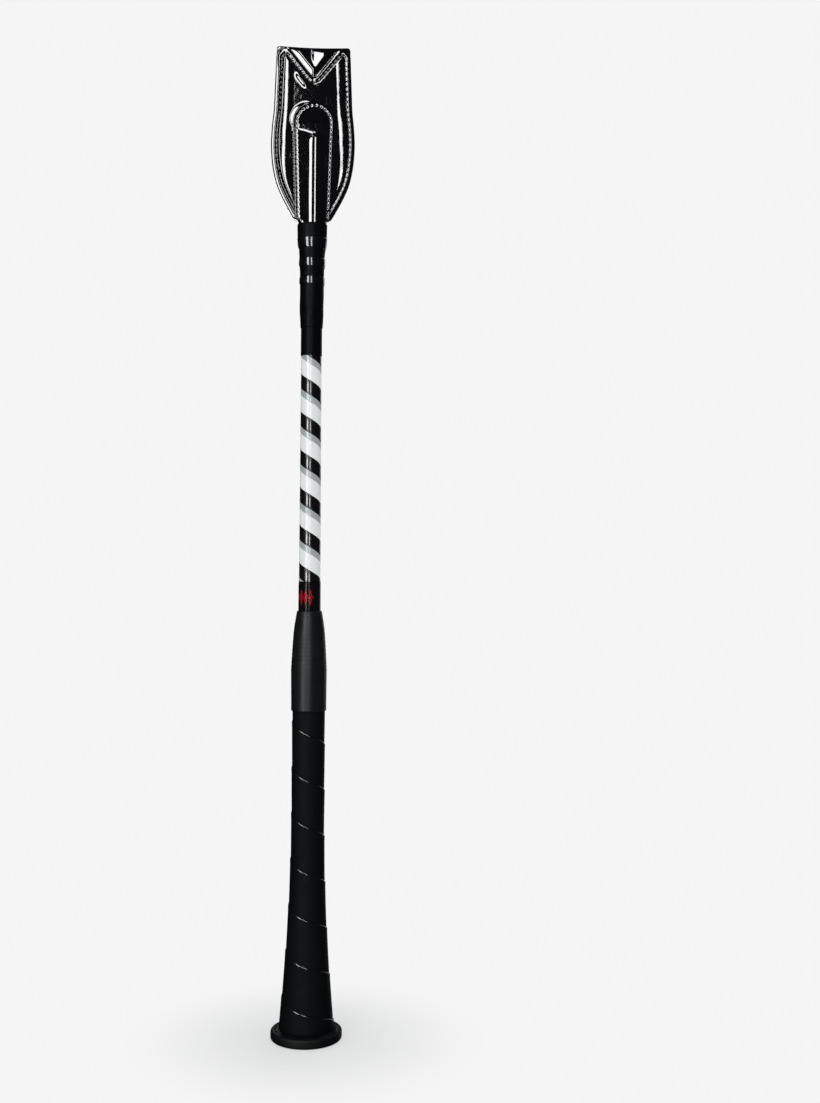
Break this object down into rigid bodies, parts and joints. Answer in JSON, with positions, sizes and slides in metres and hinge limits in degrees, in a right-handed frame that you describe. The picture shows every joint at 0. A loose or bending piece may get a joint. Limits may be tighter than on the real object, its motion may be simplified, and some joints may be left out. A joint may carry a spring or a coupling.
{
  "type": "riding crop",
  "caption": "Slim tapered riding crop: spiral-taped shaft, wrapped flared grip on a round butt, rubber boot, and a stitched patent leather flap that flexes.",
  "frame": {"origin": "middle of the butt's flat base", "axes": "+Z along the shaft from the butt to the flap, +X across the flap's width, front face of the flap towards -Y"},
  "size_m": [0.0548, 0.0468, 0.65],
  "materials": {
    "rod_fibreglass": "smooth resin, tapered",
    "shaft_padding": "braided padding, hidden",
    "black_gloss_tape": "high gloss",
    "silver_tape": "metallic gloss",
    "white_gloss_tape": "high gloss",
    "accent_band": "gloss, small red marks",
    "sleeve_black": "soft satin",
    "ring_gloss": "high gloss",
    "butt_rubber": "matte moulded",
    "underlay_foam": "matte, hidden",
    "cloth_tape": "woven, hidden",
    "grip_wrap": "matte, fine grain",
    "wrap_edge": "shiny sealed edge",
    "boot_rubber": "matte moulded, faint rings",
    "patent_leather": "patent, mirror gloss",
    "flap_foam": "felt, hidden",
    "thread": "waxed bonded thread"
  },
  "bodies": {
    "shaft": {"core_rod": "rod_fibreglass", "shaft_cover": "shaft_padding", "black_tape": "black_gloss_tape", "silver_tape": "silver_tape", "white_tape": "white_gloss_tape", "accent_band": "accent_band", "tape_end_sleeve": "sleeve_black", "neck_sleeve": "sleeve_black", "neck_ring_lower": "ring_gloss", "neck_ring_middle": "ring_gloss", "neck_ring_upper": "ring_gloss", "butt_cap": "butt_rubber", "grip_underlay": "underlay_foam", "grip_adhesive_tape": "cloth_tape", "grip_wrap": "grip_wrap", "grip_seam_strip": "wrap_edge", "finishing_tape": "cloth_tape", "rubber_boot": "boot_rubber", "flap_front_panel": "patent_leather", "flap_back_panel": "patent_leather", "front_tongue": "patent_leather", "back_tongue": "patent_leather", "flap_padding_left": "flap_foam", "flap_padding_right": "flap_foam", "edge_stitching": "thread", "front_tongue_stitching": "thread", "back_tongue_stitching": "thread"},
    "flap_end": {"flap_front_end": "patent_leather", "flap_back_end": "patent_leather", "flap_tip_insert": "patent_leather", "end_stitching": "thread"}
  },
  "joints": [
    {"name": "flap_flex", "type": "hinge", "parent": "shaft", "child": "flap_end", "pos_m": [0, 0, 0.615], "axis": [1, 0, 0], "range_deg": [-50, 50], "stiffness_Nm_per_rad": 0.1}
  ]
}
